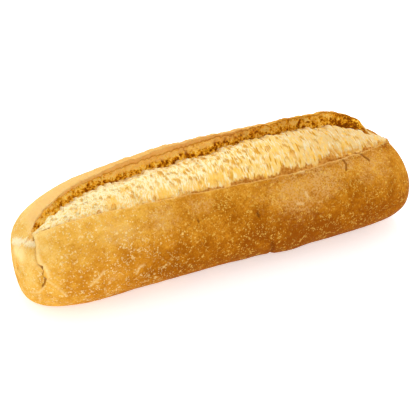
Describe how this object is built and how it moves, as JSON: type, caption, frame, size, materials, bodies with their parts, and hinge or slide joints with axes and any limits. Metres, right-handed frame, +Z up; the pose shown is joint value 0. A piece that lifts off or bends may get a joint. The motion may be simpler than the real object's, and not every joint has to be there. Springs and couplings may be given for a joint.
{
  "type": "bread roll",
  "caption": "Oblong crusty wheat roll with blunt ends, a long slash burst open over pale crumb, a raised crust ear and a small flat resting spot.",
  "frame": {"origin": "centre of the bounding box at the resting face", "axes": "+X along the loaf towards the end where the ear is tallest, -Y towards the front crust below the slash, +Z up"},
  "size_m": [0.182, 0.0614, 0.0525],
  "materials": {
    "crust": "matte golden-brown baked crust with fine blisters, and pale open crumb in the slash"
  },
  "bodies": {
    "root": {"bread_roll": "crust"}
  },
  "joints": []
}
